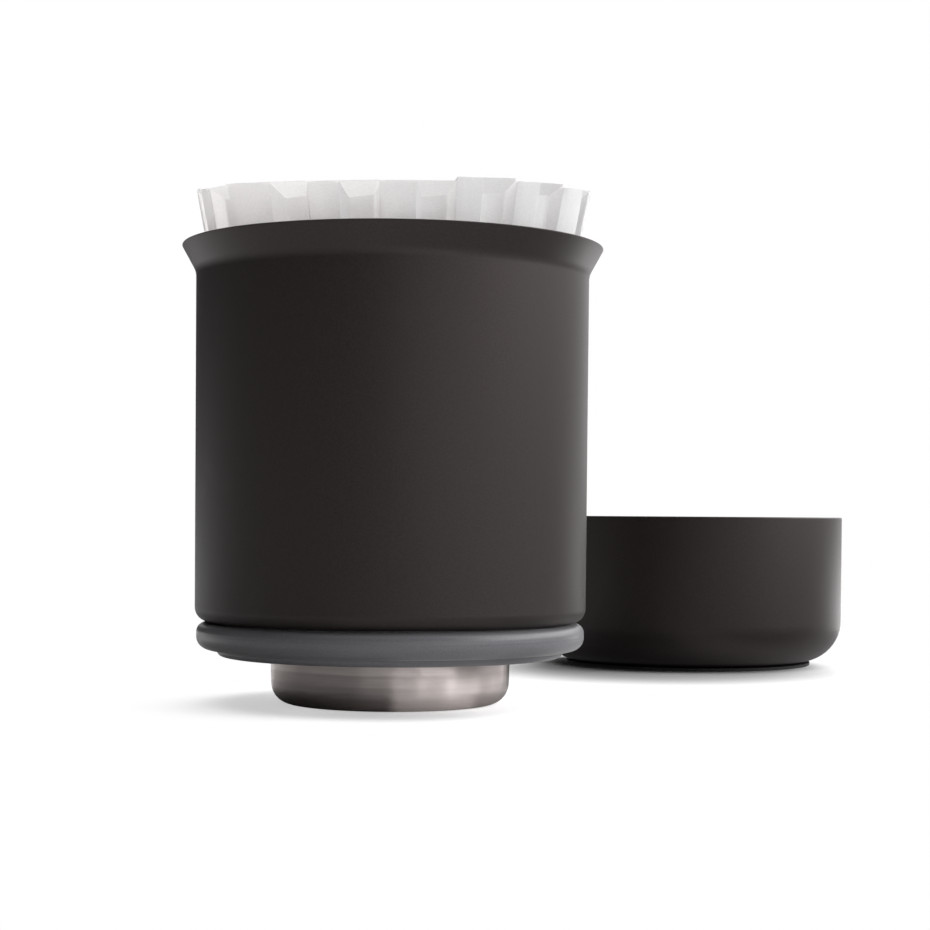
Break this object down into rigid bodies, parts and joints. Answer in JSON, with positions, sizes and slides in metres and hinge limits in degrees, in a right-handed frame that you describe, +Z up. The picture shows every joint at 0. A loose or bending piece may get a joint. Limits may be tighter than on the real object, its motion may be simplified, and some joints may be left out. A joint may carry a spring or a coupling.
{
  "type": "pour-over coffee dripper with drip cup",
  "caption": "Double-walled steel pour-over dripper with a flared lip, silicone seat ring, perforated steel foot, fluted paper filter and a matching drip cup beside it.",
  "frame": {"origin": "centre of the dripper's steel foot, on its underside, where it stands on the table", "axes": "+Z up along the dripper's axis, +Y away from the viewer, +X to the viewer's right; the drip cup stands towards +X and +Y"},
  "size_m": [0.1964, 0.2424, 0.1328],
  "materials": {
    "black_coat": "matte powder coat",
    "steel": "satin, turned",
    "solder_glass": "fused bead",
    "getter_metal": "sintered",
    "grey_silicone": "moulded matte",
    "filter_paper": "bleached crepe",
    "black_rubber": "moulded matte"
  },
  "bodies": {
    "dripper": {"outer_shell": "black_coat", "inner_cone": "steel", "drain_base": "steel", "base_plate": "black_coat", "vacuum_seal_bead": "solder_glass", "getter_pellet": "getter_metal", "getter_strap": "steel"},
    "seat_ring": {"silicone_ring": "grey_silicone"},
    "filter": {"paper_filter": "filter_paper"},
    "drip_cup": {"cup_outer_shell": "black_coat", "cup_liner": "steel", "cup_foot_pad": "black_rubber"}
  },
  "joints": [
    {"name": "filter_lift", "type": "slide", "parent": "dripper", "child": "filter", "axis": [0, 0, 1], "range_m": [0, 0.13]},
    {"name": "ring_pull", "type": "slide", "parent": "dripper", "child": "seat_ring", "axis": [0, 0, -1], "range_m": [0, 0.026]},
    {"name": "cup_lift", "type": "slide", "parent": "dripper", "child": "drip_cup", "axis": [0, 0, 1], "range_m": [0, 0.12]}
  ]
}
